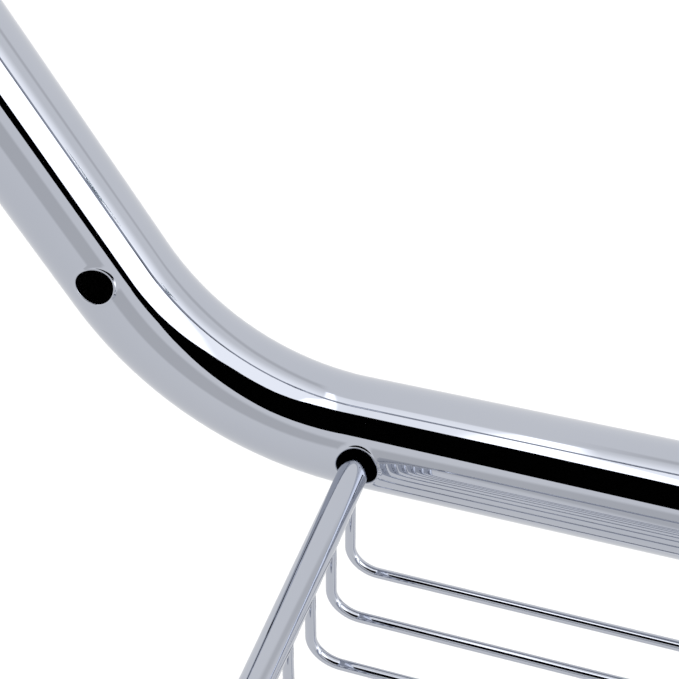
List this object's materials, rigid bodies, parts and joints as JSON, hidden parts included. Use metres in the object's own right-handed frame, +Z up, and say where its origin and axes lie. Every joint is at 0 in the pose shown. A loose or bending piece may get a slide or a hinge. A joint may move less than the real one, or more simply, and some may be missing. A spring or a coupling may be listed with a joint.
{
  "type": "shower caddy",
  "caption": "Hanging shower caddy: bent chrome tube frame with drilled holes, wire soap and bottle baskets that pull out, and a rubber-lined hook with a screw clamp.",
  "frame": {"origin": "top of the shower arm, where the hook's rubber sleeve rests on it, in the middle plane of the bent tube", "axes": "+Z up, X along the bottom bar, -Y away from the wall and out over the baskets"},
  "size_m": [0.3838, 0.1595, 0.6166],
  "materials": {
    "chrome": "polished chrome plate",
    "black_rubber": "matt moulded rubber",
    "clear_vinyl": "soft clear vinyl"
  },
  "bodies": {
    "frame": {"frame_tube": "chrome", "hanger_hub": "chrome", "arm_hook": "chrome", "hook_sleeve": "black_rubber", "hook_tip": "chrome", "fixing_screw_left": "chrome", "fixing_screw_right": "chrome", "cup_stud_left": "chrome", "cup_stud_right": "chrome", "suction_cup_left": "clear_vinyl", "suction_cup_right": "clear_vinyl"},
    "lower_basket": {"lower_basket_rim": "chrome", "lower_basket_wire_1": "chrome", "lower_basket_wire_2": "chrome", "lower_basket_wire_3": "chrome", "lower_basket_wire_4": "chrome", "lower_basket_wire_5": "chrome", "lower_basket_wire_6": "chrome", "lower_basket_wire_7": "chrome", "lower_basket_wire_8": "chrome"},
    "upper_basket": {"upper_basket_rim": "chrome", "upper_basket_wire_1": "chrome", "upper_basket_wire_2": "chrome", "upper_basket_wire_3": "chrome", "upper_basket_wire_4": "chrome", "upper_basket_wire_5": "chrome", "upper_basket_wire_6": "chrome", "upper_basket_wire_7": "chrome", "upper_basket_wire_8": "chrome", "upper_basket_stringer_1": "chrome", "upper_basket_stringer_2": "chrome", "upper_basket_stringer_3": "chrome", "upper_basket_front_guard": "chrome", "upper_basket_rear_rail": "chrome"},
    "clamp_foot": {"clamp_cup": "chrome", "clamp_pad": "black_rubber"},
    "clamp_screw": {"clamp_screw": "chrome"}
  },
  "joints": [
    {"name": "lower_basket_pull", "type": "slide", "parent": "frame", "child": "lower_basket", "axis": [0, -1, 0], "range_m": [0, 0.03]},
    {"name": "upper_basket_pull", "type": "slide", "parent": "frame", "child": "upper_basket", "axis": [0, -1, 0], "range_m": [0, 0.03]},
    {"name": "clamp_lift", "type": "slide", "parent": "frame", "child": "clamp_foot", "axis": [0, 0, 1], "range_m": [-0.014, 0.0025]},
    {"name": "clamp_turn", "type": "hinge", "parent": "clamp_foot", "child": "clamp_screw", "pos_m": [0, 0, -0.06], "axis": [0, 0, 1], "range_deg": [-2523, 453]}
  ],
  "couplings": [
    {"joint": "clamp_turn", "follows": "clamp_lift", "rad_per_m": 3141.6}
  ]
}
